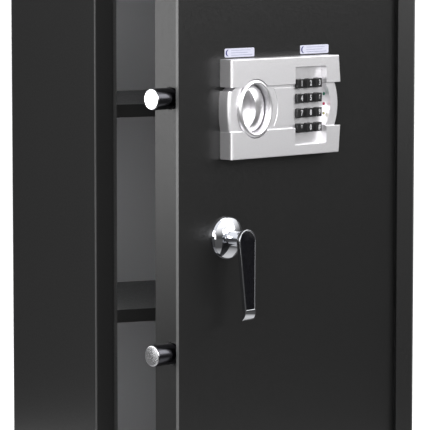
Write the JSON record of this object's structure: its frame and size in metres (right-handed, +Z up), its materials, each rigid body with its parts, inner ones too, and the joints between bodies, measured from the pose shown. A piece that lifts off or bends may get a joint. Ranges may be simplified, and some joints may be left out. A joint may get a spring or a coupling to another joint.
{
  "type": "security cabinet safe",
  "caption": "Tall black steel safe cabinet with shelves, an open hinged door, keypad lock with key override, turning lever handle and chrome live bolts.",
  "frame": {"origin": "centre of the cabinet's footprint on the floor", "axes": "+Z up, the door faces -Y, +X towards the hinges, +Y to the back panel"},
  "size_m": [0.4, 0.4369, 0.76],
  "materials": {
    "black_powder_coat": "semi-gloss fine-texture powder coat",
    "black_rubber": "matt",
    "zinc_steel": "zinc plated, satin",
    "bare_steel": "rolled sheet, satin",
    "polished_chrome": "mirror polished",
    "black_gloss_plastic": "gloss",
    "silver_paint": "fine metallic silver paint, satin",
    "silver_satin_cap": "metallic silver, satin",
    "brass": "machined",
    "nickel": "nickel plated",
    "board_green": "solder mask",
    "green_lens": "unlit lens",
    "red_lens": "unlit lens",
    "amber_lens": "unlit lens",
    "white_label": "satin film",
    "copper_coil": "varnished winding",
    "black_plastic": "fine spark texture",
    "cell_wrap": "printed sleeve, no text",
    "red_plastic": "gloss",
    "key_black": "moulded, satin"
  },
  "bodies": {
    "cabinet": {"case_wrap": "black_powder_coat", "back_panel": "black_powder_coat", "jamb_lip": "black_powder_coat", "door_stops": "black_rubber", "upper_shelf": "black_powder_coat", "lower_shelf": "black_powder_coat", "shelf_rails": "black_powder_coat", "shelf_screws": "zinc_steel", "hinge_blocks": "black_powder_coat", "hinge_pins": "zinc_steel"},
    "door": {"door_plate": "black_powder_coat", "door_pan": "black_powder_coat", "inner_cover": "black_powder_coat", "cover_screws": "zinc_steel", "hinge_bosses": "bare_steel", "bolt_bushes": "bare_steel", "carrier_guides": "bare_steel", "escutcheon": "polished_chrome", "spindle_bush": "brass", "keypad_housing": "silver_paint", "housing_studs": "zinc_steel", "circuit_board": "board_green", "green_lamp": "green_lens", "red_lamp": "red_lens", "amber_lamp": "amber_lens", "face_labels": "white_label", "lock_barrel": "nickel", "solenoid_frame": "bare_steel", "solenoid_coil": "copper_coil", "battery_box": "black_plastic", "batteries": "cell_wrap"},
    "handle": {"handle_lever": "polished_chrome", "handle_inlay": "black_gloss_plastic", "handle_spindle": "bare_steel", "cam_plate": "bare_steel", "cam_pin": "zinc_steel"},
    "bolts": {"bolt_carrier": "bare_steel", "upper_bolt": "polished_chrome", "lower_bolt": "polished_chrome", "bolt_screws": "zinc_steel"},
    "plunger": {"solenoid_plunger": "zinc_steel"},
    "lock_plug": {"lock_plug": "brass", "lock_cam": "bare_steel"},
    "key_cover": {"key_cover": "silver_satin_cap"},
    "battery_lid": {"battery_lid": "black_plastic"},
    "reset_button": {"reset_button": "red_plastic"},
    "key_1": {"key_1": "key_black"},
    "key_2": {"key_2": "key_black"},
    "key_3": {"key_3": "key_black"},
    "key_4": {"key_4": "key_black"},
    "key_5": {"key_5": "key_black"},
    "key_6": {"key_6": "key_black"},
    "key_7": {"key_7": "key_black"},
    "key_8": {"key_8": "key_black"},
    "key_9": {"key_9": "key_black"},
    "key_a": {"key_a": "key_black"},
    "key_0": {"key_0": "key_black"},
    "key_b": {"key_b": "key_black"}
  },
  "joints": [
    {"name": "door_hinge", "type": "hinge", "parent": "cabinet", "child": "door", "pos_m": [0.161, -0.141, 0.38], "axis": [0, 0, 1], "range_deg": [-22, 78]},
    {"name": "handle_turn", "type": "hinge", "parent": "door", "child": "handle", "pos_m": [-0.07948, -0.24787, 0.364], "axis": [0.3746, -0.9272, 0], "range_deg": [0, 90]},
    {"name": "bolt_slide", "type": "slide", "parent": "door", "child": "bolts", "axis": [0.9272, 0.3746, 0], "range_m": [0, 0.025]},
    {"name": "plunger_slide", "type": "slide", "parent": "door", "child": "plunger", "axis": [0, 0, 1], "range_m": [-0.006, 0]},
    {"name": "plug_turn", "type": "hinge", "parent": "door", "child": "lock_plug", "pos_m": [-0.05296, -0.23715, 0.508], "axis": [0.3746, -0.9272, 0], "range_deg": [0, 90]},
    {"name": "key_cover_slide", "type": "slide", "parent": "door", "child": "key_cover", "axis": [0.3746, -0.9272, 0], "range_m": [0, 0.03]},
    {"name": "battery_lid_slide", "type": "slide", "parent": "door", "child": "battery_lid", "axis": [0, 0, 1], "range_m": [0, 0.058]},
    {"name": "reset_press", "type": "slide", "parent": "door", "child": "reset_button", "axis": [0.3746, -0.9272, 0], "range_m": [0, 0.0015], "stiffness_N_per_m": 300},
    {"name": "key_1_press", "type": "slide", "parent": "door", "child": "key_1", "axis": [-0.3746, 0.9272, 0], "range_m": [0, 0.0012], "stiffness_N_per_m": 400},
    {"name": "key_2_press", "type": "slide", "parent": "door", "child": "key_2", "axis": [-0.3746, 0.9272, 0], "range_m": [0, 0.0012], "stiffness_N_per_m": 400},
    {"name": "key_3_press", "type": "slide", "parent": "door", "child": "key_3", "axis": [-0.3746, 0.9272, 0], "range_m": [0, 0.0012], "stiffness_N_per_m": 400},
    {"name": "key_4_press", "type": "slide", "parent": "door", "child": "key_4", "axis": [-0.3746, 0.9272, 0], "range_m": [0, 0.0012], "stiffness_N_per_m": 400},
    {"name": "key_5_press", "type": "slide", "parent": "door", "child": "key_5", "axis": [-0.3746, 0.9272, 0], "range_m": [0, 0.0012], "stiffness_N_per_m": 400},
    {"name": "key_6_press", "type": "slide", "parent": "door", "child": "key_6", "axis": [-0.3746, 0.9272, 0], "range_m": [0, 0.0012], "stiffness_N_per_m": 400},
    {"name": "key_7_press", "type": "slide", "parent": "door", "child": "key_7", "axis": [-0.3746, 0.9272, 0], "range_m": [0, 0.0012], "stiffness_N_per_m": 400},
    {"name": "key_8_press", "type": "slide", "parent": "door", "child": "key_8", "axis": [-0.3746, 0.9272, 0], "range_m": [0, 0.0012], "stiffness_N_per_m": 400},
    {"name": "key_9_press", "type": "slide", "parent": "door", "child": "key_9", "axis": [-0.3746, 0.9272, 0], "range_m": [0, 0.0012], "stiffness_N_per_m": 400},
    {"name": "key_a_press", "type": "slide", "parent": "door", "child": "key_a", "axis": [-0.3746, 0.9272, 0], "range_m": [0, 0.0012], "stiffness_N_per_m": 400},
    {"name": "key_0_press", "type": "slide", "parent": "door", "child": "key_0", "axis": [-0.3746, 0.9272, 0], "range_m": [0, 0.0012], "stiffness_N_per_m": 400},
    {"name": "key_b_press", "type": "slide", "parent": "door", "child": "key_b", "axis": [-0.3746, 0.9272, 0], "range_m": [0, 0.0012], "stiffness_N_per_m": 400}
  ],
  "couplings": [
    {"joint": "bolt_slide", "follows": "handle_turn", "m_per_rad": 0.015915}
  ]
}
